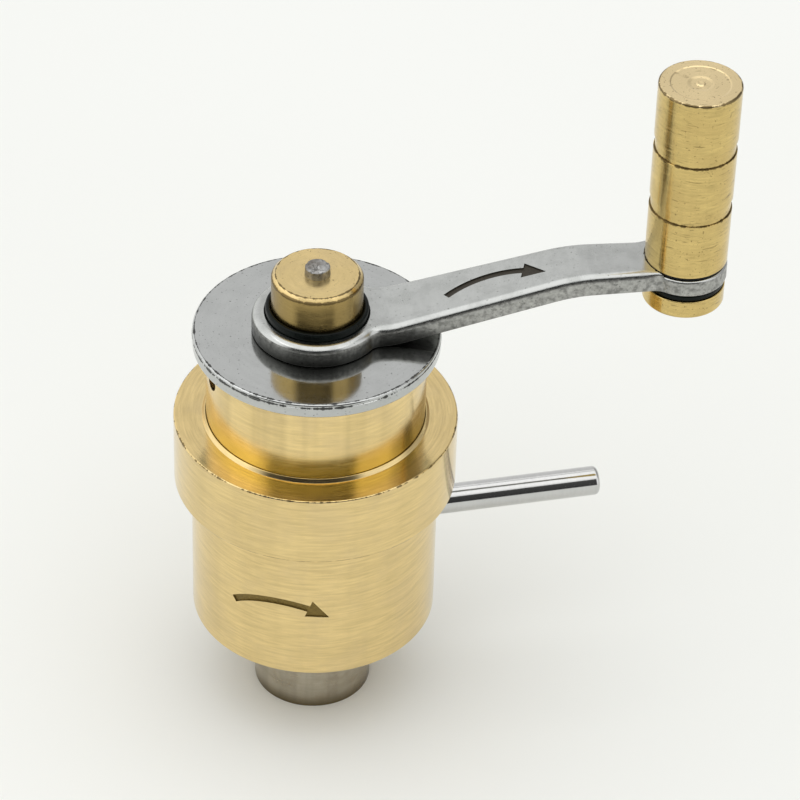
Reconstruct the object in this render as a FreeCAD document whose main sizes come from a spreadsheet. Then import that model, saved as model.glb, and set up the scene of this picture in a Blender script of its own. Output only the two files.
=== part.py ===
import FreeCAD, Part
import Sketcher
import os
import re

# Watch mainspring winder, in millimetres. The origin is the centre of the winding drum's mouth,
# +Z runs up the main axis and the crank reaches out along +X.

# Driving sizes: name, value and what it is.
SIZES = [
    ("drum_od", 10.6, "outside of the winding drum, which enters the spring barrel"),
    ("drum_wall", 0.5, "wall of the winding drum"),
    ("drum_reach", 9.2, "drum below the body"),
    ("drum_seat_od", 11.2, "drum where it is pressed into the body's floor"),
    ("drum_head_od", 12.4, "head that seats the drum on the body's floor"),
    ("drum_head_thick", 1.5, "thickness of that head"),
    ("feed_slot_width", 1.6, "slot that lets the mainspring into the drum"),
    ("feed_slot_offset", 3.1, "offset of the slot from the axis, so that it feeds tangentially"),
    ("chamber_depth", 1.8, "depth of the winding chamber at the drum's mouth"),
    ("body_od", 21.9, "outside of the brass body"),
    ("body_floor", 1.5, "thickness of the body's floor"),
    ("body_height", 14.4, "body below the finger ring"),
    ("ring_od", 25.0, "outside of the finger ring"),
    ("ring_height", 6.8, "height of the finger ring"),
    ("ring_edge", 0.15, "chamfer of the ring's upper edge"),
    ("lip_height", 0.33, "raised lip round the mouth of the bore"),
    ("lip_wall", 0.3, "wall of the lip at its foot"),
    ("collar_od", 19.3, "sliding collar above the body"),
    ("collar_guide", 4.2, "collar held in the ring's bore at rest"),
    ("collar_show", 7.83, "collar between the ring and the thumb disc at rest"),
    ("tube_od", 15.0, "guide tube below the collar"),
    ("tube_wall", 1.1, "wall of the guide tube"),
    ("tube_foot", 1.17, "tube below its key slot"),
    ("collar_stroke", 5.0, "travel of the collar"),
    ("slide_gap", 0.05, "radial clearance of each sliding or turning fit"),
    ("face_gap", 0.05, "axial clearance between faces that turn on each other"),
    ("pin_od", 2.66, "side pin"),
    ("pin_height", 18.45, "height of the side pin"),
    ("pin_tip", 26.3, "side pin's tip from the main axis"),
    ("pin_inner", 6.55, "side pin's inner end from the main axis"),
    ("pin_edge", 0.35, "chamfer of the side pin's tip"),
    ("pin_angle", 5.5, "bearing of the side pin from the crank, in degrees"),
    ("disc_od", 21.6, "thumb disc"),
    ("disc_thick", 1.35, "thickness of the thumb disc"),
    ("disc_edge", 0.1, "chamfer of the disc's upper edge"),
    ("bush_wall", 1.0, "wall of the bearing bush in the collar"),
    ("bush_length", 6.0, "bush inside the collar"),
    ("bush_drop", 0.35, "bush below the disc's upper face"),
    ("lock_hole", 1.7, "radial hole for the lock screw"),
    ("lock_drop", 1.95, "hole's centre below the disc"),
    ("lock_angle", 194.5, "bearing of the lock hole from the crank, in degrees"),
    ("lock_length", 2.5, "length of the lock screw"),
    ("cup_wall", 0.42, "wall of the spindle's cup, which holds the button and turns in the bush"),
    ("cup_base", 3.8, "solid part of the cup below the button spring"),
    ("cup_rim_drop", 0.28, "cup's rim below the top of the hub"),
    ("stem_od", 5.0, "spindle's stem"),
    ("arbor_od", 2.8, "winding arbor at the lower end"),
    ("arbor_length", 7.0, "length of the arbor"),
    ("arbor_lift", 0.2, "arbor's end above the drum's mouth"),
    ("hook_reach", 1.75, "hook's point from the axis"),
    ("hook_lift", 0.1, "hook above the arbor's end"),
    ("hook_root", 0.5, "hook's root inside the arbor"),
    ("hook_width", 0.9, "length of the hook's ramp"),
    ("hook_height", 1.2, "height of the hook"),
    ("washer_thick", 0.8, "thrust washer under the bush"),
    ("washer_rim", 0.55, "its width round the cup"),
    ("clip_thick", 0.6, "retaining clip"),
    ("clip_rim", 0.55, "clip outside the cup"),
    ("clip_groove", 0.45, "depth of its groove"),
    ("clip_mouth", 4.0, "opening of the clip"),
    ("crank_reach", 32.0, "main axis to handle axis"),
    ("crank_thick", 1.9, "thickness of the crank"),
    ("crank_rise", 3.85, "rise of the crank from hub to handle"),
    ("crank_bend", 22.0, "upper bend from the main axis"),
    ("crank_slope_run", 15.7, "length of the sloping part along the arm"),
    ("upper_bend_round", 16.0, "radius of the upper bend on top"),
    ("lower_bend_round", 6.0, "radius of the lower bend on top"),
    ("hub_wall", 1.2, "hub of the crank round the cup"),
    ("arm_root_width", 6.76, "arm's width on the main axis"),
    ("arm_end_width", 4.96, "arm's width on the handle axis"),
    ("eye_od", 7.26, "eye of the crank under the handle"),
    ("eye_face_drop", 0.36, "spot face of the eye below the arm's top"),
    ("eye_face_od", 7.6, "spot face of the eye"),
    ("neck_round", 1.6, "fillets where the arm meets hub and eye"),
    ("edge_slope", 0.3, "chamfer of the crank's upper edge"),
    ("button_od", 7.96, "push button"),
    ("button_show", 3.95, "button above the hub at rest"),
    ("button_skirt", 1.13, "button below the top of the hub"),
    ("button_chamfer", 0.36, "chamfer of the button"),
    ("button_stroke", 3.0, "travel of the button"),
    ("rod_od", 2.23, "steel rod riveted in the button"),
    ("rod_show", 0.84, "rod above the button"),
    ("rod_clearance", 0.065, "radial clearance round the rod in the spindle"),
    ("cross_pin_od", 1.2, "pin that joins rod and ejector"),
    ("cross_pin_height", 12.4, "height of that pin at rest"),
    ("rod_foot", 1.4, "rod below the cross pin"),
    ("slot_clearance", 0.02, "clearance of the cross pin in its slots"),
    ("seal_wall", 0.46, "rubber ring round the button"),
    ("seal_height", 0.94, "height of that ring"),
    ("ejector_wall", 1.25, "wall of the ejector's sleeve"),
    ("ejector_thick", 2.0, "thickness of the ejector's piston"),
    ("ejector_bore", 3.7, "bore of the piston, clear of the hook"),
    ("sleeve_top", 3.0, "sleeve above the cross pin"),
    ("return_wire", 0.7, "wire of the return spring"),
    ("return_gap", 0.2, "return spring inside the guide tube"),
    ("button_wire", 0.5, "wire of the button spring"),
    ("button_spring_gap", 0.73, "button spring inside the cup"),
    ("grip_od", 7.15, "grip of the handle"),
    ("grip_length", 17.8, "length of the grip"),
    ("grip_chamfer", 0.17, "chamfer of the grip's upper edge"),
    ("groove_depth", 0.12, "depth of the grip's grooves"),
    ("groove_width", 1.2, "width of the grooves"),
    ("groove_low", 5.45, "lower edge of the first groove above the grip's foot"),
    ("groove_high", 11.4, "lower edge of the second groove above the grip's foot"),
    ("axle_od", 3.0, "axle of the handle"),
    ("axle_in_grip", 9.2, "axle inside the grip"),
    ("axle_in_cap", 1.1, "axle inside the cap"),
    ("upper_washer_thick", 0.25, "rubber washer above the eye"),
    ("lower_washer_thick", 0.65, "rubber washer below the eye"),
    ("washer_inset", 0.1, "rubber washers inside the cap's outside"),
    ("cap_od", 7.1, "cap under the handle"),
    ("cap_thick", 1.7, "thickness of the cap"),
]

# Levels and radii that follow from the sizes, from the drum's mouth upward.
LEVELS = [
    ("drum_r", "drum_od / 2"),
    ("drum_bore_r", "drum_od / 2 - drum_wall"),
    ("floor_top", "drum_reach + body_floor"),
    ("head_top", "floor_top + drum_head_thick"),
    ("body_r", "body_od / 2"),
    ("ring_r", "ring_od / 2"),
    ("ring_foot", "drum_reach + body_height"),
    ("ring_top", "ring_foot + ring_height"),
    ("bore_r", "collar_od / 2 + slide_gap"),
    ("tube_bore_r", "tube_od / 2 + slide_gap"),
    ("collar_foot", "ring_top - collar_guide"),
    ("bore_floor", "collar_foot - collar_stroke - 6 * face_gap"),
    ("slot_r", "pin_od / 2 + slide_gap"),
    ("key_top", "pin_height + collar_stroke + 4 * face_gap"),
    ("tube_low", "pin_height - slot_r - tube_foot"),
    ("disc_low", "ring_top + collar_show"),
    ("disc_top", "disc_low + disc_thick"),
    ("bush_low", "disc_low - bush_length"),
    ("chamber_r", "tube_od / 2 - tube_wall"),
    ("button_r", "button_od / 2"),
    ("cup_bore_r", "button_r + slide_gap"),
    ("cup_r", "cup_bore_r + cup_wall"),
    ("bush_bore_r", "cup_r + slide_gap"),
    ("bush_r", "bush_bore_r + bush_wall"),
    ("seal_r", "cup_bore_r + seal_wall"),
    ("hub_r", "cup_r + hub_wall"),
    ("hub_low", "disc_top + face_gap"),
    ("hub_top", "hub_low + crank_thick"),
    ("cup_rim", "hub_top - cup_rim_drop"),
    ("washer_top", "bush_low - face_gap"),
    ("washer_low", "washer_top - washer_thick"),
    ("clip_top", "washer_low - face_gap"),
    ("clip_low", "clip_top - clip_thick"),
    ("cup_low", "clip_low - 1.1"),
    ("cup_floor", "cup_low + cup_base"),
    ("rod_bore_r", "rod_od / 2 + rod_clearance"),
    ("arbor_top", "arbor_lift + arbor_length"),
    ("cross_low", "cross_pin_height - button_stroke"),
    ("cross_slot_r", "cross_pin_od / 2 + slot_clearance"),
    ("rod_low", "cross_pin_height - rod_foot"),
    ("rod_bore_low", "rod_low - button_stroke - 4 * face_gap"),
    ("button_low", "hub_top - button_skirt"),
    ("button_top", "hub_top + button_show"),
    ("rod_top", "button_top + rod_show"),
    ("sleeve_bore_r", "stem_od / 2 + slide_gap"),
    ("sleeve_r", "sleeve_bore_r + ejector_wall"),
    ("piston_top", "chamber_depth + ejector_thick"),
    ("crank_foot", "crank_bend - crank_slope_run"),
    ("eye_low", "hub_low + crank_rise"),
    ("eye_top", "eye_low + crank_thick"),
    ("eye_face", "eye_top - eye_face_drop"),
    ("axle_bore_r", "axle_od / 2 + slide_gap"),
    ("upper_washer_low", "eye_face + face_gap"),
    ("grip_low", "upper_washer_low + upper_washer_thick"),
    ("grip_top", "grip_low + grip_length"),
    ("lower_washer_top", "eye_low - face_gap"),
    ("cap_top", "lower_washer_top - lower_washer_thick"),
    ("cap_low", "cap_top - cap_thick"),
    ("cap_r", "cap_od / 2"),
]

doc = FreeCAD.newDocument("MainspringWinder")
sizes = doc.addObject("Spreadsheet::Sheet", "Sizes")
levels = doc.addObject("Spreadsheet::Sheet", "Levels")
SHEET_OF = {name: "Sizes" for name, value, note in SIZES}
SHEET_OF.update({name: "Levels" for name, formula in LEVELS})
ZERO = "0"
UP = FreeCAD.Vector(0, 0, 1)


def bound(text):
    """The expression with each name pointed at its sheet."""
    def point(match):
        name = match.group(0)
        return SHEET_OF[name] + "." + name if name in SHEET_OF else name
    return re.sub(r"[a-z][a-z_]+", point, text)


def fill_sheets():
    for row, (name, value, note) in enumerate(SIZES, 1):
        sizes.set("A%d" % row, name)
        sizes.set("B%d" % row, str(value))
        sizes.set("C%d" % row, note)
        sizes.setAlias("B%d" % row, name)
    for row, (name, formula) in enumerate(LEVELS, 1):
        levels.set("A%d" % row, name)
        levels.setAlias("B%d" % row, name)
    for row, (name, formula) in enumerate(LEVELS, 1):
        levels.set("B%d" % row, "=" + bound(formula))
    doc.recompute()


def number(name):
    """The present value of one alias, for finding edges."""
    sheet = sizes if SHEET_OF[name] == "Sizes" else levels
    return float(sheet.get(name))


def new_body(label):
    body = doc.addObject("PartDesign::Body", label)
    body.Label = label
    return body


def new_sketch(body, role, name):
    plane = [item for item in body.Origin.OriginFeatures if item.Role == role][0]
    sketch = body.newObject("Sketcher::SketchObject", body.Label + "_" + name)
    sketch.AttachmentSupport = [(plane, "")]
    sketch.MapMode = "FlatFace"
    return sketch


def level_sketch(body, name, height):
    """A sketch in plan at the given height."""
    sketch = new_sketch(body, "XY_Plane", name)
    sketch.setExpression("AttachmentOffset.Base.z", bound(height))
    return sketch


def radial_sketch(body, name, bearing=None):
    """An upright sketch on the main axis that looks out along the given bearing."""
    sketch = new_sketch(body, "YZ_Plane", name)
    if bearing:
        turn = FreeCAD.Rotation(FreeCAD.Vector(0, 1, 0), 1)
        sketch.AttachmentOffset = FreeCAD.Placement(FreeCAD.Vector(), turn)
        sketch.setExpression("AttachmentOffset.Rotation.Angle", bound(bearing))
    return sketch


def fix_length(sketch, constraint, text):
    index = sketch.addConstraint(constraint)
    sketch.setExpression("Constraints[%d]" % index, bound(text))


def fix_point(sketch, line, end, x, y):
    """Ties one point of the sketch to its two expressions, which may start with a minus."""
    here = sketch.getPoint(line, end)
    for axis, kind, text, start in ((-2, "DistanceX", x, here.x), (-1, "DistanceY", y, here.y)):
        if text == ZERO:
            sketch.addConstraint(Sketcher.Constraint("PointOnObject", line, end, axis))
        elif text.startswith("-"):
            fix_length(sketch, Sketcher.Constraint(kind, line, end, -1, 1, -start), text[1:])
        else:
            fix_length(sketch, Sketcher.Constraint(kind, -1, 1, line, end, start), text)


def draw_outline(sketch, points):
    """A closed outline of straight edges through the given pairs of expressions."""
    count = len(points)
    starts = [FreeCAD.Vector(-10 - k if x.startswith("-") else 10 + k,
                             -10 - k * k if y.startswith("-") else 10 + k * k, 0)
              for k, (x, y) in enumerate(points)]
    lines = [sketch.addGeometry(Part.LineSegment(starts[k], starts[(k + 1) % count]), False)
             for k in range(count)]
    for k in range(count):
        following = lines[(k + 1) % count]
        sketch.addConstraint(Sketcher.Constraint("Coincident", lines[k], 2, following, 1))
        fix_point(sketch, lines[k], 1, *points[k])


def draw_circle(sketch, x, y, radius):
    circle = sketch.addGeometry(Part.Circle(FreeCAD.Vector(5, 5, 0), UP, 1.0), False)
    fix_point(sketch, circle, 3, x, y)
    fix_length(sketch, Sketcher.Constraint("Radius", circle, 1.0), radius)


def draw_slot(sketch, low, high, radius):
    """An upright slot with round ends between two levels, on the sketch's vertical axis."""
    size = number(radius)
    side = FreeCAD.Vector(size, 0, 0)
    depth = FreeCAD.Vector(0, size, 0)
    bottom = FreeCAD.Vector(0, number(low), 0)
    top = FreeCAD.Vector(0, number(high), 0)
    lower = sketch.addGeometry(Part.Arc(bottom - side, bottom - depth, bottom + side), False)
    upper = sketch.addGeometry(Part.Arc(top + side, top + depth, top - side), False)
    right = sketch.addGeometry(Part.LineSegment(bottom + side, top + side), False)
    left = sketch.addGeometry(Part.LineSegment(top - side, bottom - side), False)
    for first, second in ((lower, right), (right, upper), (upper, left), (left, lower)):
        sketch.addConstraint(Sketcher.Constraint("Tangent", first, 2, second, 1))
    fix_point(sketch, lower, 3, ZERO, low)
    fix_point(sketch, upper, 3, ZERO, high)
    fix_length(sketch, Sketcher.Constraint("Radius", lower, size), radius)


def turn(body, points, axis="V_Axis"):
    """A turned piece from its half section, given as radius and height."""
    sketch = new_sketch(body, "XZ_Plane", "section")
    draw_outline(sketch, points)
    revolution = body.newObject("PartDesign::Revolution", body.Label + "_turned")
    revolution.Profile = sketch
    revolution.ReferenceAxis = (sketch, [axis])
    revolution.Angle = 360
    doc.recompute()


def pad(body, sketch, length, both=False):
    feature = body.newObject("PartDesign::Pad", sketch.Label + "_pad")
    feature.Profile = sketch
    feature.SideType = "Symmetric" if both else "One side"
    feature.setExpression("Length", bound(length))
    doc.recompute()


def pocket(body, sketch, side):
    """Cuts right through from the sketch to its front (+1), its back (-1) or both sides (0)."""
    before = body.Shape.Volume
    feature = body.newObject("PartDesign::Pocket", sketch.Label + "_cut")
    feature.Profile = sketch
    feature.Type = "ThroughAll"
    feature.SideType = "One side" if side else "Symmetric"
    feature.Reversed = side > 0
    doc.recompute()
    if not body.Shape.Volume < before - 1e-4:
        raise RuntimeError(sketch.Label + " cuts nothing")


def dress_edges(body, kind, name, size, wanted):
    """Rounds ("Fillet") or chamfers ("Chamfer") the edges that wanted picks."""
    tip = body.Tip
    edges = ["Edge%d" % k for k, edge in enumerate(tip.Shape.Edges, 1) if wanted(edge)]
    feature = body.newObject("PartDesign::" + kind, body.Label + "_" + name)
    feature.Base = (tip, edges)
    feature.setExpression("Radius" if kind == "Fillet" else "Size", bound(size))
    doc.recompute()


def flat_ring(label, inner, outer, low, high):
    """A plain turned ring or disc."""
    body = new_body(label)
    turn(body, [(inner, low), (outer, low), (outer, high), (inner, high)])
    return body


def barrel_body():
    """Brass body with the finger ring, bored for the collar and its guide tube."""
    body = new_body("barrel_body")
    turn(body, [("drum_seat_od / 2", "drum_reach"),
                ("body_r", "drum_reach"),
                ("body_r", "ring_foot"),
                ("ring_r", "ring_foot"),
                ("ring_r", "ring_top - ring_edge"),
                ("ring_r - ring_edge", "ring_top"),
                ("bore_r + lip_wall", "ring_top"),
                ("bore_r", "ring_top + lip_height"),
                ("bore_r", "bore_floor"),
                ("tube_bore_r", "bore_floor"),
                ("tube_bore_r", "floor_top"),
                ("drum_seat_od / 2", "floor_top")])
    sketch = radial_sketch(body, "pin_hole", "pin_angle")
    draw_circle(sketch, ZERO, "pin_height", "pin_od / 2")
    pocket(body, sketch, 1)
    return body


def winding_drum():
    """Thin steel tube that enters the spring barrel, with its feed slot on the far side."""
    body = new_body("winding_drum")
    turn(body, [("drum_bore_r", ZERO),
                ("drum_r", ZERO),
                ("drum_r", "drum_reach"),
                ("drum_seat_od / 2", "drum_reach"),
                ("drum_seat_od / 2", "floor_top"),
                ("drum_head_od / 2", "floor_top"),
                ("drum_head_od / 2", "head_top"),
                ("drum_bore_r", "head_top")])
    sketch = new_sketch(body, "XZ_Plane", "feed_slot")
    draw_outline(sketch, [("feed_slot_offset - feed_slot_width / 2", ZERO),
                          ("feed_slot_offset + feed_slot_width / 2", ZERO),
                          ("feed_slot_offset + feed_slot_width / 2", "chamber_depth"),
                          ("feed_slot_offset - feed_slot_width / 2", "chamber_depth")])
    pocket(body, sketch, -1)
    return body


def lay_radially(body, height, bearing):
    """Lays a piece that was turned about X at a height and a bearing from the crank."""
    body.Placement = FreeCAD.Placement(FreeCAD.Vector(), FreeCAD.Rotation(UP, 1))
    body.setExpression("Placement.Base.z", bound(height))
    if bearing:
        body.setExpression("Placement.Rotation.Angle", bound(bearing))


def side_pin():
    """Steel pin that keys the collar and steadies the tool against turning."""
    body = new_body("side_pin")
    turn(body, [("pin_inner", ZERO),
                ("pin_tip", ZERO),
                ("pin_tip", "pin_od / 2 - pin_edge"),
                ("pin_tip - pin_edge", "pin_od / 2"),
                ("pin_inner", "pin_od / 2")], "H_Axis")
    lay_radially(body, "pin_height", "pin_angle")
    return body


def collar():
    """Brass collar that slides in the ring, with a slotted guide tube below."""
    body = new_body("collar")
    turn(body, [("chamber_r", "tube_low"),
                ("tube_od / 2", "tube_low"),
                ("tube_od / 2", "collar_foot"),
                ("collar_od / 2", "collar_foot"),
                ("collar_od / 2", "disc_low"),
                ("bush_r", "disc_low"),
                ("bush_r", "bush_low"),
                ("chamber_r", "bush_low")])
    sketch = radial_sketch(body, "key_slot", "pin_angle")
    draw_slot(sketch, "pin_height", "key_top", "slot_r")
    pocket(body, sketch, 1)
    sketch = radial_sketch(body, "lock_hole", "lock_angle")
    draw_circle(sketch, ZERO, "disc_low - lock_drop", "lock_hole / 2")
    pocket(body, sketch, 1)
    return body


def thumb_disc():
    """Polished steel disc under the crank."""
    body = new_body("thumb_disc")
    turn(body, [("bush_r", "disc_low"),
                ("disc_od / 2", "disc_low"),
                ("disc_od / 2", "disc_top - disc_edge"),
                ("disc_od / 2 - disc_edge", "disc_top"),
                ("bush_r", "disc_top")])
    return body


def bearing_bush():
    """Bronze bush in which the spindle turns. It reaches up through the disc and centres it."""
    return flat_ring("bearing_bush", "bush_bore_r", "bush_r", "bush_low", "disc_top - bush_drop")


def lock_screw():
    """Grub screw that holds the bush, sunk in the collar."""
    body = new_body("lock_screw")
    turn(body, [("bush_r", ZERO),
                ("bush_r + lock_length", ZERO),
                ("bush_r + lock_length", "lock_hole / 2"),
                ("bush_r", "lock_hole / 2")], "H_Axis")
    lay_radially(body, "disc_low - lock_drop", "lock_angle")
    return body


def crank_side():
    """Side profile of the crank as a wide bent strip. The crank's outline is cut from it."""
    body = new_body("crank_side")
    sketch = new_sketch(body, "XZ_Plane", "strip")
    draw_outline(sketch, [("-2 * hub_r", "hub_low"),
                          ("crank_foot", "hub_low"),
                          ("crank_bend", "eye_low"),
                          ("crank_reach + eye_od", "eye_low"),
                          ("crank_reach + eye_od", "eye_low + crank_thick"),
                          ("crank_bend", "eye_low + crank_thick"),
                          ("crank_foot", "hub_top"),
                          ("-2 * hub_r", "hub_top")])
    pad(body, sketch, "4 * hub_r", both=True)
    bends = (("low_top", "lower_bend_round", "crank_foot", "hub_top"),
             ("low_under", "lower_bend_round + crank_thick", "crank_foot", "hub_low"),
             ("high_top", "upper_bend_round", "crank_bend", "eye_top"),
             ("high_under", "upper_bend_round - crank_thick", "crank_bend", "eye_low"))
    for name, radius, along, height in bends:
        at = FreeCAD.Vector(number(along), 0, number(height))
        dress_edges(body, "Fillet", name, radius, lambda edge: edge.distToShape(Part.Vertex(at))[0] < 1e-4)
    return body


def crank_arm():
    """Steel crank: hub, tapered arm that rises in two bends, and the eye for the handle."""
    body = new_body("crank_arm")
    side = crank_side()
    hub = level_sketch(body, "hub", "hub_low")
    draw_circle(hub, ZERO, ZERO, "hub_r")
    pad(body, hub, "crank_rise + crank_thick")
    arm = level_sketch(body, "taper", "hub_low")
    draw_outline(arm, [(ZERO, "-arm_root_width / 2"),
                       ("crank_reach", "-arm_end_width / 2"),
                       ("crank_reach", "arm_end_width / 2"),
                       (ZERO, "arm_root_width / 2")])
    pad(body, arm, "crank_rise + crank_thick")
    eye = level_sketch(body, "eye", "hub_low")
    draw_circle(eye, "crank_reach", ZERO, "eye_od / 2")
    pad(body, eye, "crank_rise + crank_thick")
    dress_edges(body, "Fillet", "necks", "neck_round",
                lambda edge: isinstance(edge.Curve, Part.Line) and abs(edge.tangentAt(0).z) > 0.9)
    bent = body.newObject("PartDesign::Boolean", "crank_arm_bent")
    bent.Type = "Common"
    bent.setObjects([side])
    doc.recompute()
    top = number("hub_top")
    rise = number("crank_rise")

    def upper_edge(edge):
        centre = edge.CenterOfMass
        return centre.z > top - 1e-4 and abs(centre.y) > 0.3 or centre.z > top + rise - 1e-4
    dress_edges(body, "Chamfer", "edges", "edge_slope", upper_edge)
    for name, along, height, radius in (("hub_bore", ZERO, "hub_low", "cup_r"),
                                        ("seal_seat", ZERO, "cup_rim", "seal_r"),
                                        ("axle_bore", "crank_reach", "hub_low", "axle_bore_r"),
                                        ("spot_face", "crank_reach", "eye_face", "eye_face_od / 2")):
        sketch = level_sketch(body, name, height)
        draw_circle(sketch, along, ZERO, radius)
        pocket(body, sketch, 1)
    return body


def spindle():
    """Steel spindle: cup for the button, stem bored for the rod, and the hooked arbor."""
    body = new_body("spindle")
    turn(body, [(ZERO, "arbor_lift"),
                ("arbor_od / 2", "arbor_lift"),
                ("arbor_od / 2", "arbor_top"),
                ("stem_od / 2", "arbor_top"),
                ("stem_od / 2", "cup_low"),
                ("cup_r", "cup_low"),
                ("cup_r", "clip_low"),
                ("cup_r - clip_groove", "clip_low"),
                ("cup_r - clip_groove", "clip_top"),
                ("cup_r", "clip_top"),
                ("cup_r", "cup_rim"),
                ("cup_bore_r", "cup_rim"),
                ("cup_bore_r", "cup_floor"),
                ("rod_bore_r", "cup_floor"),
                ("rod_bore_r", "rod_bore_low"),
                (ZERO, "rod_bore_low")])
    sketch = radial_sketch(body, "cross_slot")
    draw_slot(sketch, "cross_low", "cross_pin_height", "cross_slot_r")
    pocket(body, sketch, 0)
    sketch = level_sketch(body, "hook", "arbor_lift + hook_lift")
    draw_outline(sketch, [("arbor_od / 2 - hook_root", ZERO),
                          ("hook_reach", ZERO),
                          ("arbor_od / 2 - hook_root", "hook_width")])
    pad(body, sketch, "hook_height")
    return body


def thrust_washer():
    return flat_ring("thrust_washer", "cup_r", "cup_r + washer_rim", "washer_low", "washer_top")


def retaining_ring():
    """Open spring clip in the spindle's groove."""
    body = flat_ring("retaining_ring", "cup_r - clip_groove", "cup_r + clip_rim", "clip_low", "clip_top")
    sketch = level_sketch(body, "mouth", "clip_low")
    draw_outline(sketch, [(ZERO, "-clip_mouth / 2"),
                          ("2 * cup_r", "-clip_mouth / 2"),
                          ("2 * cup_r", "clip_mouth / 2"),
                          (ZERO, "clip_mouth / 2")])
    pocket(body, sketch, 1)
    return body


def button_seal():
    """Black rubber ring between the button and the hub."""
    return flat_ring("button_seal", "cup_bore_r", "seal_r", "cup_rim", "cup_rim + seal_height")


def push_button():
    """Brass button, riveted on the rod."""
    body = new_body("push_button")
    turn(body, [("rod_od / 2", "button_low"),
                ("button_r", "button_low"),
                ("button_r", "button_top - button_chamfer"),
                ("button_r - button_chamfer", "button_top"),
                ("rod_od / 2", "button_top")])
    return body


def cross_hole(body):
    """Hole for the pin that joins rod and ejector."""
    sketch = radial_sketch(body, "cross_hole")
    draw_circle(sketch, ZERO, "cross_pin_height", "cross_pin_od / 2")
    pocket(body, sketch, 0)


def push_rod():
    """Steel rod that links the button with the ejector."""
    body = new_body("push_rod")
    turn(body, [(ZERO, "rod_low"),
                ("rod_od / 2", "rod_low"),
                ("rod_od / 2", "rod_top"),
                (ZERO, "rod_top")])
    cross_hole(body)
    return body


def cross_pin():
    """Pin through rod and ejector, which rides in the spindle's slots."""
    body = new_body("cross_pin")
    sketch = radial_sketch(body, "section")
    draw_circle(sketch, ZERO, "cross_pin_height", "cross_pin_od / 2")
    pad(body, sketch, "2 * sleeve_r - 4 * face_gap", both=True)
    return body


def ejector():
    """Sleeve round the stem whose piston pushes the wound spring out of the drum."""
    body = new_body("ejector")
    turn(body, [("ejector_bore / 2", "chamber_depth"),
                ("drum_bore_r - slide_gap", "chamber_depth"),
                ("drum_bore_r - slide_gap", "piston_top"),
                ("sleeve_r", "piston_top"),
                ("sleeve_r", "cross_pin_height + sleeve_top"),
                ("sleeve_bore_r", "cross_pin_height + sleeve_top"),
                ("sleeve_bore_r", "piston_top"),
                ("ejector_bore / 2", "piston_top")])
    cross_hole(body)
    return body


def return_spring():
    """Room of the spring that lifts the collar."""
    return flat_ring("return_spring", "chamber_r - return_gap - return_wire",
                     "chamber_r - return_gap", "head_top", "bush_low")


def button_spring():
    """Room of the spring that lifts the button."""
    return flat_ring("button_spring", "cup_bore_r - button_spring_gap - button_wire",
                     "cup_bore_r - button_spring_gap", "cup_floor", "button_low")


def on_handle(body):
    """Stands a piece that was turned about Z on the handle's axis."""
    body.setExpression("Placement.Base.x", bound("crank_reach"))
    return body


def grip():
    """Brass grip with two shallow grooves."""
    body = new_body("grip")
    outer = "grip_od / 2"
    inner = "grip_od / 2 - groove_depth"
    points = [("axle_od / 2", "grip_low"), (outer, "grip_low")]
    for low in ("grip_low + groove_low", "grip_low + groove_high"):
        high = low + " + groove_width"
        points += [(outer, low), (inner, low), (inner, high), (outer, high)]
    points += [(outer, "grip_top - grip_chamfer"),
               (outer + " - grip_chamfer", "grip_top"),
               (ZERO, "grip_top"),
               (ZERO, "grip_low + axle_in_grip"),
               ("axle_od / 2", "grip_low + axle_in_grip")]
    turn(body, points)
    return on_handle(body)


def grip_axle():
    """Steel axle that runs through the eye of the crank."""
    body = new_body("grip_axle")
    turn(body, [(ZERO, "cap_top - axle_in_cap"),
                ("axle_od / 2", "cap_top - axle_in_cap"),
                ("axle_od / 2", "grip_low + axle_in_grip"),
                (ZERO, "grip_low + axle_in_grip")])
    return on_handle(body)


def axle_cap():
    """Brass cap that closes the axle below the eye."""
    body = new_body("axle_cap")
    turn(body, [(ZERO, "cap_low"),
                ("cap_r", "cap_low"),
                ("cap_r", "cap_top"),
                ("axle_od / 2", "cap_top"),
                ("axle_od / 2", "cap_top - axle_in_cap"),
                (ZERO, "cap_top - axle_in_cap")])
    return on_handle(body)


def upper_washer():
    return on_handle(flat_ring("upper_washer", "axle_od / 2", "cap_r - washer_inset",
                               "upper_washer_low", "grip_low"))


def lower_washer():
    return on_handle(flat_ring("lower_washer", "axle_od / 2", "cap_r - washer_inset",
                               "cap_top", "lower_washer_top"))


PIECES = (barrel_body, winding_drum, side_pin,
          collar, thumb_disc, bearing_bush, lock_screw, return_spring,
          crank_arm, spindle, thrust_washer, retaining_ring, button_seal, button_spring,
          push_button, push_rod, cross_pin, ejector,
          grip, grip_axle, axle_cap, upper_washer, lower_washer)

fill_sheets()
made = [piece() for piece in PIECES]
doc.recompute()
faults = [item.Name for item in doc.Objects if "Invalid" in item.State or "Error" in item.State]
faults += [body.Label for body in made if body.Shape.isNull() or not body.Shape.isValid()]
if faults:
    raise RuntimeError("failed: " + ", ".join(faults))
os.makedirs("parts", exist_ok=True)
for body in made:
    body.Shape.exportStep("parts/%s.step" % body.Label)
    print("%-16s %9.3f mm3" % (body.Label, body.Shape.Volume))
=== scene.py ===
import bmesh
import bpy
import math
from mathutils import Euler, Matrix, Vector, noise
from mathutils.geometry import delaunay_2d_cdt


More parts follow.
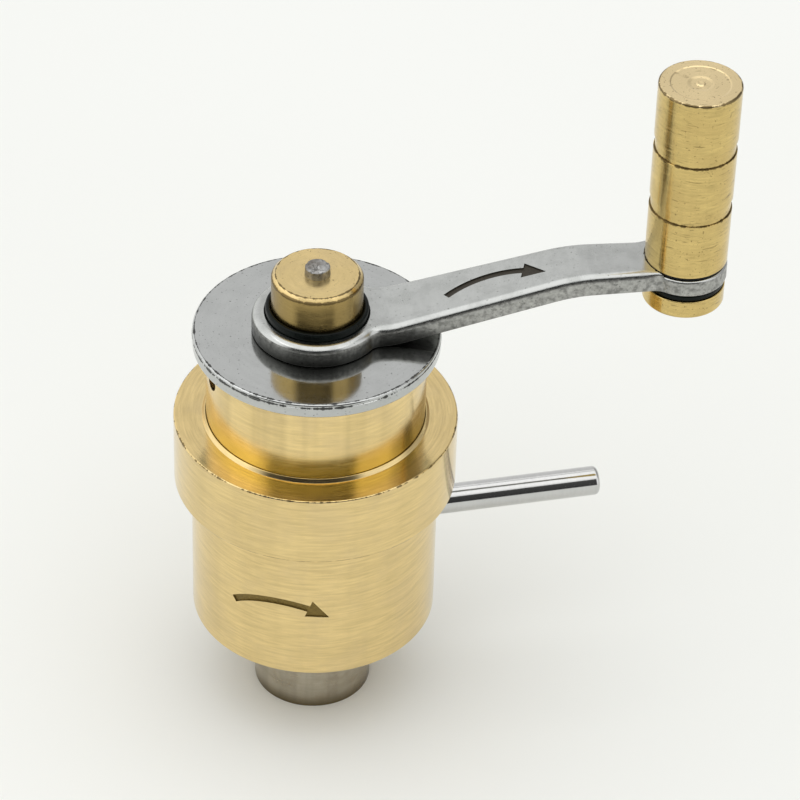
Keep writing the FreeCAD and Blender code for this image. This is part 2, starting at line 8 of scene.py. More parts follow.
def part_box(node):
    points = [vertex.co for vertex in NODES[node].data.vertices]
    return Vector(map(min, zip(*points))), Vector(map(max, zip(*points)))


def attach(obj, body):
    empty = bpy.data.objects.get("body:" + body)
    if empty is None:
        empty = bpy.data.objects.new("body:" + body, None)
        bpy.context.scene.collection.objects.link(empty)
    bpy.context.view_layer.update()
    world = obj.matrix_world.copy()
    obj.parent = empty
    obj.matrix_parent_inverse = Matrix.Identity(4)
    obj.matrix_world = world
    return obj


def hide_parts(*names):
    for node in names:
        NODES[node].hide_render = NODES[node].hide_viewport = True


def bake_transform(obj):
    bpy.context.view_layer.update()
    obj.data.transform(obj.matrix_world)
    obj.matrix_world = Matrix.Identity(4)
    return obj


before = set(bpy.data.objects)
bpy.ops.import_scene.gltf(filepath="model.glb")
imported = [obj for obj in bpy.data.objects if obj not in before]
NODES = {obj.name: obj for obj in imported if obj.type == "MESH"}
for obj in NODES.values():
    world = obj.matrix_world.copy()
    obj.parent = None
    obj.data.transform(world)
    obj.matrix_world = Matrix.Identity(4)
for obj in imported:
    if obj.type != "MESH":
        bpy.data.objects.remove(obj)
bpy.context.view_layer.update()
MM = 0.001
SEGMENTS = 192


def low(node):
    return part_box(node)[0]


def high(node):
    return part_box(node)[1]


# Main sizes, read from the frame.
HANDLE_X = (low("axle_cap").x + high("axle_cap").x) / 2
RING_R = high("barrel_body").y
BODY_FOOT = low("barrel_body").z
LIP_TOP = high("barrel_body").z
COLLAR_R = high("collar").y
DISC_R = high("thumb_disc").y
DISC_LOW = low("thumb_disc").z
DISC_TOP = high("thumb_disc").z
HUB_R = high("crank_arm").y
HUB_LOW = low("crank_arm").z
ARM_TOP = high("crank_arm").z
EYE_R = high("crank_arm").x - HANDLE_X
SEAL_R = high("button_seal").y
SEAL_LOW = low("button_seal").z
SEAL_TOP = high("button_seal").z
BUTTON_R = high("push_button").y
BUTTON_LOW = low("push_button").z
BUTTON_TOP = high("push_button").z
ROD_R = high("push_rod").y
ROD_LOW = low("push_rod").z
ROD_TOP = high("push_rod").z
GRIP_R = high("grip").y
GRIP_LOW = low("grip").z
GRIP_TOP = high("grip").z
CAP_R = high("axle_cap").y
CAP_LOW = low("axle_cap").z
CAP_TOP = high("axle_cap").z
WASHER_R = high("lower_washer").y
AXLE_R = high("grip_axle").y
PIN_HEIGHT = (low("side_pin").z + high("side_pin").z) / 2
PIN_R = (high("side_pin").z - low("side_pin").z) / 2

# Sizes that no box gives.
BODY_R = 10.95 * MM
RING_FOOT = 23.6 * MM
RING_TOP = 30.4 * MM
SLIDE_GAP = 0.05 * MM
BORE_R = COLLAR_R + SLIDE_GAP
BORE_DEPTH = 9.5 * MM
TUBE_BORE_R = 7.55 * MM
BODY_FLOOR = 1.5 * MM
DRUM_SEAT_R = 5.6 * MM
LIP_FOOT_R = 10.0 * MM
EDGE = 0.15 * MM
BUSH_R = 5.5 * MM
CRANK_THICK = 1.9 * MM
CRANK_RISE = ARM_TOP - HUB_LOW - CRANK_THICK
LOW_BEND_X = 6.3 * MM
HIGH_BEND_X = 22.0 * MM
LOW_BEND_R = 6.0 * MM
HIGH_BEND_R = 16.0 * MM
ARM_ROOT_HALF = 3.38 * MM
ARM_END_HALF = 2.48 * MM
NECK_ROUND = 1.6 * MM
SPOT_FACE_R = GRIP_R + 0.03 * MM
SPOT_FACE_DROP = 0.36 * MM
BUTTON_CHAMFER = 0.36 * MM
BUTTON_GAP = 0.05 * MM
DISC_STEP = 0.33 * MM
GROOVE_FEET = (5.45 * MM, 11.4 * MM)
GROOVE_WIDE = 1.2 * MM
GROOVE_DEEP = 0.12 * MM
AXLE_IN_GRIP = 9.2 * MM
AXLE_IN_CAP = 1.1 * MM
PIN_BEARING = math.radians(5.5)
PIN_INNER = 6.55 * MM
PIN_TIP = 26.3 * MM
ON_HANDLE = Matrix.Translation((HANDLE_X, 0, 0))
TOUCHING = 1e-8


# Building meshes whose shading follows the exact surface.
class Shell:
    """Collects points and faces, with the surface's own direction at each face corner."""

    def __init__(self):
        self.points = []
        self.faces = []
        self.directions = []
        self.finishes = []

    def point(self, place):
        self.points.append(Vector(place))
        return len(self.points) - 1

    def face(self, corners, finish=0, ordered=False):
        """Adds a face with corners (point number, direction).

        It looks the way its directions do, or, if ordered, the way its corners turn.
        """
        a, b, c = [self.points[number] for number, direction in corners[:3]]
        facing = (b - a).cross(c - b)
        if not ordered and facing.dot(sum((direction for number, direction in corners), Vector())) < 0:
            corners = corners[::-1]
        self.faces.append([number for number, direction in corners])
        self.directions += [direction.normalized() for number, direction in corners]
        self.finishes.append(finish)

    def strip(self, first, second, finish=0, ordered=False):
        """Adds the faces between two closed loops of (point number, direction)."""
        for k in range(len(first)):
            following = (k + 1) % len(first)
            self.face([first[k], first[following], second[following], second[k]], finish, ordered)

    def mesh(self, name, place=Matrix.Identity(4)):
        mesh = bpy.data.meshes.new(name)
        mesh.from_pydata([place @ point for point in self.points], [], self.faces)
        turn = place.to_3x3()
        mesh.polygons.foreach_set("material_index", self.finishes)
        mesh.shade_smooth()
        mesh.normals_split_custom_set([turn @ direction for direction in self.directions])
        return mesh


def new_object(name, data):
    made = bpy.data.objects.new(name, data)
    bpy.context.scene.collection.objects.link(made)
    return made


def new_piece(name, mesh, body, materials, replaced):
    piece = new_object(name, mesh)
    for material in materials:
        mesh.materials.append(material)
    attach(piece, body)
    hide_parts(replaced)


def full_turn(count):
    """Evenly spaced angles of a full turn."""
    return [2 * math.pi * k / count for k in range(count)]


def rotated(vector, angle):
    cos_a = math.cos(angle)
    sin_a = math.sin(angle)
    return Vector((vector.x * cos_a - vector.y * sin_a, vector.x * sin_a + vector.y * cos_a))


def profile_points(corners):
    """A closed outline from corners (radius, height, rounding).

    Each point comes with the outward directions of the surface before and after it.
    """
    flat = [Vector(corner[:2]) for corner in corners]
    count = len(corners)
    area = sum(flat[k - 1].cross(flat[k]) for k in range(count))
    side = 1 if area > 0 else -1
    points = []
    for k, (r, z, rounding) in enumerate(corners):
        corner = flat[k]
        before = (corner - flat[k - 1]).normalized()
        after = (flat[(k + 1) % count] - corner).normalized()
        first = Vector((before.y, -before.x)) * side
        last = Vector((after.y, -after.x)) * side
        if not rounding:
            points.append((corner, first, last))
            continue
        turn = math.atan2(before.cross(after), before.dot(after))
        reach = rounding * math.tan(abs(turn) / 2)
        start = corner - before * reach
        bend = 1 if turn > 0 else -1
        centre = start + Vector((-before.y, before.x)) * bend * rounding
        steps = max(3, round(abs(turn) / math.radians(15)))
        for step in range(steps + 1):
            angle = turn * step / steps
            direction = rotated(first, angle)
            points.append((centre + rotated(start - centre, angle), direction, direction))
    return points


def lathe(shell, corners, left_out=None):
    """Adds a solid turned about Z to the shell and returns its rings of point numbers and its outline.

    left_out is a test on two outline points and a column, for faces that another surface fills.
    """
    outline = profile_points(corners)
    count = len(outline)
    spokes = [Vector((math.cos(turn), math.sin(turn))) for turn in full_turn(SEGMENTS)]
    rings = []
    for place, first, last in outline:
        if place.x < TOUCHING:
            rings.append([shell.point((0, 0, place.y))] * SEGMENTS)
        else:
            rings.append([shell.point((spoke.x * place.x, spoke.y * place.x, place.y))
                          for spoke in spokes])
    for k in range(count):
        place, first, out_of = outline[k]
        next_place, into, last = outline[(k + 1) % count]
        if place.x < TOUCHING and next_place.x < TOUCHING:
            continue
        here = rings[k]
        there = rings[(k + 1) % count]
        for column in range(SEGMENTS):
            following = (column + 1) % SEGMENTS
            if left_out and left_out(place, next_place, column):
                continue
            ends = (spokes[column], spokes[following])
            lows = [Vector((spoke.x * out_of.x, spoke.y * out_of.x, out_of.y)) for spoke in ends]
            highs = [Vector((spoke.x * into.x, spoke.y * into.x, into.y)) for spoke in ends]
            corners = [(here[column], lows[0]), (here[following], lows[1]),
                       (there[following], highs[1]), (there[column], highs[0])]
            if place.x < TOUCHING:
                corners.pop(1)
            elif next_place.x < TOUCHING:
                corners.pop(2)
            shell.face(corners)
    return rings, outline


def turned_piece(name, corners, body, material, replaced, place=Matrix.Identity(4)):
    shell = Shell()
    lathe(shell, corners)
    new_piece(name, shell.mesh(name, place), body, [material], replaced)


def inside(place, loop):
    """Whether a point of the plane lies inside a closed loop."""
    found = False
    for a, b in zip(loop, loop[1:] + loop[:1]):
        if (a[1] > place[1]) != (b[1] > place[1]):
            if place[0] < a[0] + (b[0] - a[0]) * (place[1] - a[1]) / (b[1] - a[1]):
                found = not found
    return found


def clear_of(place, loops, gap):
    return all((place[0] - x) ** 2 + (place[1] - y) ** 2 > gap * gap
               for loop in loops for x, y in loop)


def grid(low_u, high_u, low_v, high_v, step_u, step_v):
    rows = round((high_v - low_v) / step_v)
    columns = round((high_u - low_u) / step_u)
    return [(low_u + (high_u - low_u) * i / columns, low_v + (high_v - low_v) * j / rows)
            for j in range(1, rows) for i in range(1, columns)]


def sheet_with_marks(shell, border, holes, marks, spare, surface, depth, finishes):
    """Fills a border in the plane, leaves the holes open and sinks the marks.

    border and holes are loops of (u, v, point number), marks are loops of (u, v) and spare are inner
    points. surface gives the place and the direction at (u, v) for a depth. finishes are the numbers of
    the plain and the engraved material.
    """
    plain, engraved = finishes
    probe = 0.01
    step_ahead = 0.1
    inside_only = 1
    merged_below = 1e-6
    border_uv = [(u, v) for u, v, number in border]
    holes_uv = [[(u, v) for u, v, number in hole] for hole in holes]
    gap = 0.12
    loops = [border_uv] + holes_uv + marks
    inner = [place for place in spare
             if inside(place, border_uv) and not any(inside(place, hole) for hole in holes_uv)
             and clear_of(place, loops, gap)]
    flat = []
    edges = []
    for loop in loops:
        start = len(flat)
        flat += [Vector(place) for place in loop]
        edges += [(start + k, start + (k + 1) % len(loop)) for k in range(len(loop))]
    flat += [Vector(place) for place in inner]
    known = [number for loop in [border] + holes for u, v, number in loop]
    filling = delaunay_2d_cdt(flat, edges, [], inside_only, merged_below)
    places, triangles, origins = filling[0], filling[2], filling[3]
    tops = []
    floors = {}
    for place, origin in zip(places, origins):
        if origin and origin[0] < len(known):
            tops.append(known[origin[0]])
        else:
            tops.append(None)

    def top(index):
        if tops[index] is None:
            tops[index] = shell.point(surface(places[index].x, places[index].y, 0.0)[0])
        return tops[index]

    def floor(index):
        if index not in floors:
            floors[index] = shell.point(surface(places[index].x, places[index].y, depth)[0])
        return floors[index]

    def facing(index):
        return surface(places[index].x, places[index].y, 0.0)[1]

    u, v = border_uv[0]
    foot, out = surface(u, v, 0.0)
    along_u = surface(u + probe, v, 0.0)[0] - foot
    along_v = surface(u, v + probe, 0.0)[0] - foot
    side = 1 if along_u.cross(along_v).dot(out) > 0 else -1
    for triangle in triangles:
        a, b, c = [places[k] for k in triangle]
        centre = (a + b + c) / 3
        if any(inside(centre, hole) for hole in holes_uv):
            continue
        if (b - a).cross(c - b) * side < 0:
            triangle = triangle[::-1]
        if any(inside(centre, mark) for mark in marks):
            shell.face([(floor(k), facing(k)) for k in triangle], engraved, ordered=True)
        else:
            shell.face([(top(k), facing(k)) for k in triangle], plain, ordered=True)
    number_of = {}
    for index, origin in enumerate(origins):
        for source in origin:
            number_of[source] = index
    start = len(known)
    for mark in marks:
        for k in range(len(mark)):
            a = number_of[start + k]
            b = number_of[start + (k + 1) % len(mark)]
            along = places[b] - places[a]
            across = Vector((along.y, -along.x)).normalized()
            halfway = (places[a] + places[b]) / 2
            if not inside(halfway + across * probe, mark):
                across = -across
            beyond = halfway + across * step_ahead
            inward = surface(beyond.x, beyond.y, 0.0)[0] - surface(halfway.x, halfway.y, 0.0)[0]
            shell.face([(number, inward) for number in (top(a), top(b), floor(b), floor(a))], engraved)
        start += len(mark)


def arrow_mark(centre_u, centre_v, span, rise):
    """A bent arrow for the winding direction: a stretch of ring and its head, one loop in mm."""
    stroke = 0.7
    head_length = 2.1
    head_half = 0.95
    steps = 24
    radius = (span * span / 4 + rise * rise) / (2 * rise)
    tail = math.asin(span / 2 / radius)
    neck = -tail + head_length / radius

    def at(angle, reach):
        return (centre_u - math.sin(angle) * reach,
                centre_v + rise / 2 - radius + math.cos(angle) * reach)

    outline = [at(tail + (neck - tail) * step / steps, radius + stroke / 2) for step in range(steps + 1)]
    outline += [at(neck, radius + head_half), at(-tail, radius), at(neck, radius - head_half)]
    outline += [at(neck + (tail - neck) * step / steps, radius - stroke / 2) for step in range(steps + 1)]
    return outline


# Camera: a long lens, from 38 degrees above.
CAMERA_AZIMUTH = math.radians(-8.151)
CAMERA_ELEVATION = math.radians(38.446)
CAMERA_ROLL = math.radians(1.784)
CAMERA_DISTANCE = 335.44 * MM
CAMERA_AIM_HEIGHT = 30.0 * MM
CAMERA_SHIFT_RIGHT = 7.376 * MM
CAMERA_SHIFT_UP = 1.515 * MM
LENS = 171.6


def place_camera():
    """The photograph's view."""
    cos_a = math.cos(CAMERA_AZIMUTH)
    sin_a = math.sin(CAMERA_AZIMUTH)
    level = math.cos(CAMERA_ELEVATION)
    back = Vector((sin_a * level, -cos_a * level, math.sin(CAMERA_ELEVATION)))
    right = Vector((cos_a, sin_a, 0))
    up = back.cross(right)
    rolled_right = math.cos(CAMERA_ROLL) * right + math.sin(CAMERA_ROLL) * up
    rolled_up = math.cos(CAMERA_ROLL) * up - math.sin(CAMERA_ROLL) * right
    data = bpy.data.cameras.new("camera")
    data.sensor_width = 36.0
    data.lens = LENS
    data.clip_start = 0.01
    data.clip_end = 10.0
    camera = new_object("camera", data)
    place = Vector((0, 0, CAMERA_AIM_HEIGHT)) + back * CAMERA_DISTANCE
    place += right * CAMERA_SHIFT_RIGHT + up * CAMERA_SHIFT_UP
    turn = Matrix((rolled_right, rolled_up, back)).transposed()
    camera.matrix_world = Matrix.Translation(place) @ turn.to_4x4()
    bpy.context.scene.camera = camera


class Graph:
    """A short way to write shader nodes."""

    def __init__(self, tree):
        self.tree = tree
        tree.nodes.clear()

    def surface(self, shader):
        """Makes a shader what the material shows."""
        self.node("OutputMaterial", Surface=shader.outputs[0])

    def node(self, kind, settings=None, **inputs):
        made = self.tree.nodes.new("ShaderNode" + kind)
        for key, value in (settings or {}).items():
            setattr(made, key, value)
        for key, value in inputs.items():
            self.feed(made, key.replace("_", " "), value)
        return made

    def feed(self, made, key, value):
        socket = made.inputs[int(key)] if key.isdigit() else made.inputs[key]
        if isinstance(value, bpy.types.NodeSocket):
            self.tree.links.new(value, socket)
        else:
            socket.default_value = value

    def maths(self, operation, *values):
        made = self.node("Math", {"operation": operation})
        for index, value in enumerate(values):
            self.feed(made, str(index), value)
        return made.outputs[0]

    def vector(self, operation, *values):
        made = self.node("VectorMath", {"operation": operation})
        for index, value in enumerate(values):
            self.feed(made, str(index), value)
        return made.outputs["Value" if operation == "LENGTH" else "Vector"]

    def step(self, value, start, end, low=0.0, high=1.0):
        """A smooth change from low to high while value goes from start to end."""
        made = self.node("MapRange", {"interpolation_type": "SMOOTHSTEP"})
        for index, number in enumerate((value, start, end, low, high)):
            self.feed(made, str(index), number)
        return made.outputs[0]

    def ramp(self, value, stops):
        """Colours or greys at the given positions."""
        made = self.node("ValToRGB", Fac=value)
        ramp = made.color_ramp
        while len(ramp.elements) < len(stops):
            ramp.elements.new(0.5)
        for element, (position, colour) in zip(ramp.elements, stops):
            element.position = position
            grey = (colour, colour, colour, 1)
            element.color = grey if isinstance(colour, float) else (*colour, 1)
        return made.outputs["Color"]

    def blend(self, factor, first, second):
        made = self.node("Mix", {"data_type": "RGBA"})
        self.feed(made, "0", factor)
        for index, value in (("6", first), ("7", second)):
            colour = value if isinstance(value, bpy.types.NodeSocket) else (*value, 1)
            self.feed(made, index, colour)
        return made.outputs[2]

    def noise(self, vector, scale=1.0, detail=2.0, roughness=0.5, extra=None):
        """Noise over a vector, with an optional fourth number."""
        made = self.node("TexNoise", Vector=vector, Scale=scale, Detail=detail,
                         Roughness=roughness)
        if extra is not None:
            made.noise_dimensions = "4D"
            self.feed(made, "W", extra)
        return made.outputs["Fac"]


def new_material(name):
    """An empty material, its graph and its place in the object."""
    material = bpy.data.materials.new(name)
    material.use_nodes = True
    graph = Graph(material.node_tree)
    return material, graph, graph.node("TexCoord").outputs["Object"]


def metal(name, colour, aged=None, centre=(0, 0, 0), turn=(0, 0, 0), reach=10.0, roughness=0.25,
          stretch=0.6, lines=0.08, line_length=3.0, patches=0.5, scratches=0.0, specks=0.0, nicks_and_shade_lines=(),
          relief=0.3, axis="Z", tracks=5.0, deep=None, cloud_scale=0.3, bands=0.0,
          dirt_and_shade=(0.06, 0.06, 0.055)):
    """Turned metal in a frame of its own, whose Z is the turning axis.

    aged is the colour of duller patches, reach the usual radius in mm, lines the contrast of the turning
    marks and tracks their number per mm. nicks lists (radius, height, width, share) in mm of rubbed edges,
    and on the grip also of painted shade lines in the corners at its grooves' feet.
    deep is (colour, height, height) for a gradual change to another colour along the height; on the
    collar's foot it is a painted reflection of the ring, on the grip's end a painted highlight, and on the
    crank's side near the disc and at the drum's foot painted shade. bands is the contrast of soft painted
    reflection stripes along the axis and dirt the colour in scratches, rubbed edges and painted shade
    lines.
    """
    fine_share = 0.8
    deepest = 0.006 * MM
    material, graph, place = new_material(name)
    local = graph.node("Mapping", {"vector_type": "TEXTURE"}, Vector=place, Location=centre,
                       Rotation=turn, Scale=(MM, MM, MM)).outputs[0]
    parts = graph.node("SeparateXYZ", Vector=local).outputs
    flat = graph.node("CombineXYZ", X=parts[0], Y=parts[1]).outputs[0]
    radius = graph.vector("LENGTH", flat)
    spoke = graph.vector("NORMALIZE", flat)
    height = parts[2]

    def streaks(length, per_mm, detail, rough=0.6):
        """Noise drawn out round the axis."""
        round_way = graph.vector("MULTIPLY", spoke, (reach / length,) * 3)
        lift = graph.maths("MULTIPLY", height, per_mm)
        way = graph.vector("ADD", round_way, graph.node("CombineXYZ", Z=lift).outputs[0])
        return graph.noise(way, 1.0, detail, rough, graph.maths("MULTIPLY", radius, per_mm))

    fine = streaks(line_length, tracks, 3.0)
    broad = streaks(line_length * 3, tracks / 5, 2.0)
    cloud = graph.noise(local, cloud_scale, 4.0, 0.6)
    dark = tuple(channel * (1 - lines) for channel in colour)
    light = tuple(min(1.0, channel * (1 + lines)) for channel in colour)
    mixed = graph.maths("ADD", graph.maths("MULTIPLY", fine, fine_share),
                        graph.maths("MULTIPLY", broad, 1 - fine_share))
    paint = graph.ramp(mixed, [(0.36, dark), (0.64, light)])
    dull = graph.step(cloud, 0.42, 0.68, 0.0, patches)
    paint = graph.blend(dull, paint, aged or tuple(channel * 0.8 for channel in colour))
    # Soft stripes along the axis: painted reflections of the studio's light and dark walls.
    if bands:
        reflection_stripe = graph.noise(graph.vector("MULTIPLY", spoke, (3.5, 3.5, 3.5)), 1.0, 3.0, 0.6)
        shade = graph.step(reflection_stripe, 0.35, 0.65, 1 - bands, 1 + bands)
        paint = graph.vector("MULTIPLY", paint, shade)
    # A gradual change to another colour by height; on the collar, the grip, the crank's side and the drum
    # it is painted light: reflection, highlight and shade.
    if deep:
        paint = graph.blend(graph.step(height, deep[1], deep[2]), deep[0], paint)
    rough = graph.step(mixed, 0.3, 0.7, roughness * 0.8, roughness * 1.2)
    rough = graph.maths("ADD", rough, graph.maths("MULTIPLY", dull, roughness * 0.5))
    raised = graph.maths("MULTIPLY", fine, 0.5)
    if scratches:
        cuts = graph.step(streaks(1.6, 9.0, 2.0), 0.66 - 0.05 * scratches, 0.78 - 0.05 * scratches)
        groups = graph.step(graph.noise(local, 0.7, 3.0), 0.45, 0.65)
        slant = graph.node("Mapping", Vector=local, Rotation=(0.5, 0.3, 0.2),
                           Scale=(0.6, 0.6, 5.0)).outputs[0]
        strokes = graph.step(graph.noise(slant, 1.2, 1.0), 0.70 - 0.03 * scratches,
                             0.76 - 0.03 * scratches)
        marks = graph.maths("MAXIMUM", graph.maths("MULTIPLY", cuts, groups), strokes)
        marks = graph.maths("MULTIPLY", marks, 0.5)
        paint = graph.blend(marks, paint, dirt_and_shade)
        raised = graph.maths("SUBTRACT", raised, graph.maths("MULTIPLY", marks, 1.5))
    if specks:
        dots = graph.step(graph.noise(local, 5.0, 1.0), 0.72 - 0.05 * specks, 0.78 - 0.05 * specks)
        paint = graph.blend(graph.maths("MULTIPLY", dots, 0.6), paint, dirt_and_shade)
        raised = graph.maths("SUBTRACT", raised, dots)
    # Dark lines along rubbed edges; on the grip the lines at the groove feet are painted shade in the
    # corners.
    for number, (edge_radius, level, width, share) in enumerate(nicks_and_shade_lines):
        off = graph.node("CombineXYZ", X=graph.maths("SUBTRACT", radius, edge_radius),
                         Y=graph.maths("SUBTRACT", height, level)).outputs[0]
        round_way = graph.vector("MULTIPLY_ADD", spoke, (reach * 0.9,) * 3, (number * 7.3, 0, 0))
        rub_and_shade_breakup = graph.noise(round_way, 1.0, 6.0, 0.75)
        wide = graph.step(rub_and_shade_breakup, 0.58 - share * 0.3, 0.82 - share * 0.3, width * 0.12, width * 1.4)
        near = graph.maths("DIVIDE", graph.vector("LENGTH", off), wide)
        rub_and_shade = graph.step(near, 0.7, 1.2, 1.0, 0.0)
        paint = graph.blend(graph.maths("MULTIPLY", rub_and_shade, 0.9), paint, dirt_and_shade)
        raised = graph.maths("SUBTRACT", raised, graph.maths("MULTIPLY", rub_and_shade, 2.0))
    bump = graph.node("Bump", Strength=relief, Distance=deepest, Height=raised)
    tangent = graph.node("Tangent", {"direction_type": "RADIAL", "axis": axis})
    shader = graph.node("BsdfPrincipled", Base_Color=paint, Metallic=1.0, Roughness=rough,
                        Anisotropic=stretch, Anisotropic_Rotation=0.25, Normal=bump.outputs[0],
                        Tangent=tangent.outputs[0])
    graph.surface(shader)
    return material


BRASS = (0.73, 0.56, 0.265)
AGED_BRASS = (0.63, 0.49, 0.27)
# Deeper gold: a painted reflection of the ring's brass top in the collar's foot.
RING_REFLECTION_BRASS = (0.74, 0.575, 0.18)
# Dark colour for dirt in scratches and rubbed edges, and for the painted shade lines in the grip's grooves.
BRASS_DIRT_AND_SHADE = (0.13, 0.09, 0.035)
HANDLE = (HANDLE_X, 0, 0)
body_brass = metal("body brass", BRASS, AGED_BRASS, reach=11.0, roughness=0.14, lines=0.115,
                   line_length=2.4, patches=0.3, stretch=0.55, bands=0.025,
                   dirt_and_shade=BRASS_DIRT_AND_SHADE, tracks=5.5,
                   nicks_and_shade_lines=((RING_R / MM, RING_TOP / MM - 0.03, 0.13, 0.5),
                          (RING_R / MM, RING_FOOT / MM, 0.09, 0.9)))
# The collar's foot turns deeper gold towards the ring: a painted reflection.
collar_brass = metal("collar brass", BRASS, AGED_BRASS, reach=9.6, roughness=0.16, lines=0.12,
                     patches=0.35, stretch=0.75, relief=0.25, bands=0.09, dirt_and_shade=BRASS_DIRT_AND_SHADE, tracks=4.5,
                     deep=(RING_REFLECTION_BRASS, 31.3, 33.3))
button_brass = metal("button brass", BRASS, (0.58, 0.45, 0.24), reach=4.0, roughness=0.2,
                     line_length=1.5, specks=0.6, lines=0.05, relief=0.15, dirt_and_shade=BRASS_DIRT_AND_SHADE,
                     nicks_and_shade_lines=((BUTTON_R / MM, (BUTTON_TOP - BUTTON_CHAMFER) / MM, 0.13, 0.9),
                            ((BUTTON_R - BUTTON_CHAMFER) / MM, BUTTON_TOP / MM, 0.09, 0.6)),
                     deep=((0.42, 0.30, 0.11), BUTTON_TOP / MM - 0.5, BUTTON_TOP / MM - 0.02))
# Painted shade: dark lines in the corners at the grooves' feet.
groove_shade_lines = tuple((GRIP_R / MM - 0.08, (GRIP_LOW + foot) / MM, 0.12, 0.7) for foot in GROOVE_FEET)
grip_brass = metal("grip brass", (0.63, 0.475, 0.185), (0.56, 0.41, 0.16), centre=HANDLE, reach=3.6,
                   roughness=0.19, line_length=1.6, scratches=1.15, specks=0.9,
                   lines=0.13, bands=0.03, dirt_and_shade=BRASS_DIRT_AND_SHADE,
                   nicks_and_shade_lines=((GRIP_R / MM, GRIP_TOP / MM - 0.05, 0.13, 0.8),) + groove_shade_lines,
                   # The grip's end is painted lighter: a painted highlight from the light above.
                   deep=((0.80, 0.64, 0.36), GRIP_TOP / MM - 0.08, GRIP_TOP / MM - 0.2))
disc_steel = metal("disc steel", (0.51, 0.52, 0.51), (0.44, 0.45, 0.44), reach=9.0, roughness=0.09,
                   stretch=0.2, lines=0.03, patches=0.6, specks=0.6, relief=0.12, tracks=3.0,
                   dirt_and_shade=(0.02, 0.02, 0.018),
                   nicks_and_shade_lines=((DISC_R / MM, DISC_TOP / MM - 0.32, 0.14, 0.6),
                          (DISC_R / MM - 0.2, DISC_TOP / MM, 0.11, 0.5)))
arm_steel = metal("arm steel", (0.50, 0.51, 0.495), (0.40, 0.41, 0.395), reach=20.0, roughness=0.19,
                  stretch=0.0, lines=0.03, patches=0.7, specks=0.4, relief=0.2, tracks=2.0,
                  cloud_scale=0.6)
arm_side_steel = metal("arm side steel", (0.40, 0.40, 0.38), (0.19, 0.19, 0.18), reach=20.0,
                       roughness=0.33, stretch=0.0, lines=0.2, line_length=1.0, patches=0.8,
                       specks=1.0, relief=1.0, tracks=3.5, cloud_scale=2.0, dirt_and_shade=(0.05, 0.05, 0.045),
                       # Near black low down: painted shade on the crank's side and underside over the disc.
                       deep=((0.03, 0.031, 0.028), HUB_LOW / MM - 0.1, HUB_LOW / MM + 2.6))
pin_steel = metal("pin steel", (0.58, 0.58, 0.57), centre=(0, 0, PIN_HEIGHT),
                  turn=(0, math.pi / 2, PIN_BEARING), reach=1.4, roughness=0.1, stretch=0.2,
                  lines=0.03, line_length=0.8, patches=0.2, relief=0.1, axis="X")
drum_steel = metal("drum steel", (0.47, 0.43, 0.35), (0.36, 0.31, 0.23), reach=5.3, roughness=0.2,
                   line_length=2.0, patches=0.7, bands=0.08,
                   # Darker towards the foot: painted shade where the drum meets the floor.
                   deep=((0.15, 0.115, 0.06), -0.3, 1.7))
plain_steel = metal("plain steel", (0.50, 0.50, 0.49), reach=5.0)
rod_steel = metal("rod steel", (0.40, 0.40, 0.39), (0.16, 0.14, 0.12), reach=1.0, roughness=0.4,
                  stretch=0.0, line_length=0.5, lines=0.3, patches=0.9, specks=1.5, relief=0.8,
                  tracks=3.0)
bush_bronze = metal("bush bronze", (0.55, 0.36, 0.18), reach=5.0)


def engraved_fill(name, colour):
    """The dark, rough floor of an engraved mark."""
    material, graph, place = new_material(name)
    grain = graph.noise(place, 9000.0, 2.0)
    paint = graph.ramp(grain, [(0.35, tuple(channel * 0.6 for channel in colour)), (0.65, colour)])
    bump = graph.node("Bump", Strength=0.6, Distance=0.01 * MM, Height=grain)
    shader = graph.node("BsdfPrincipled", Base_Color=paint, Metallic=0.6, Roughness=0.5,
                        Normal=bump.outputs[0])
    graph.surface(shader)
    return material


brass_mark = engraved_fill("engraved brass", (0.25, 0.17, 0.04))
steel_mark = engraved_fill("engraved steel", (0.05, 0.042, 0.03))


def rubber_material():
    """Glossy black rubber."""
    material, graph, place = new_material("rubber")
    grain = graph.noise(place, 1500.0, 2.0)
    paint = graph.ramp(grain, [(0.3, (0.002, 0.003, 0.0025)), (0.7, (0.004, 0.007, 0.006))])
    rough = graph.step(grain, 0.3, 0.7, 0.2, 0.35)
    bump = graph.node("Bump", Strength=0.2, Distance=0.01 * MM, Height=grain)
    shader = graph.node("BsdfPrincipled", Base_Color=paint, Roughness=rough,
                        Normal=bump.outputs[0])
    shader.inputs["Specular IOR Level"].default_value = 0.12
    graph.surface(shader)
    return material


rubber = rubber_material()


# Brass body with an engraved arrow on its front.
MARK_DEPTH = 0.14
CRANK_MARK_DEPTH = 0.12
ARROW_BEARING = math.radians(-112)
ARROW_HEIGHT = 16.6


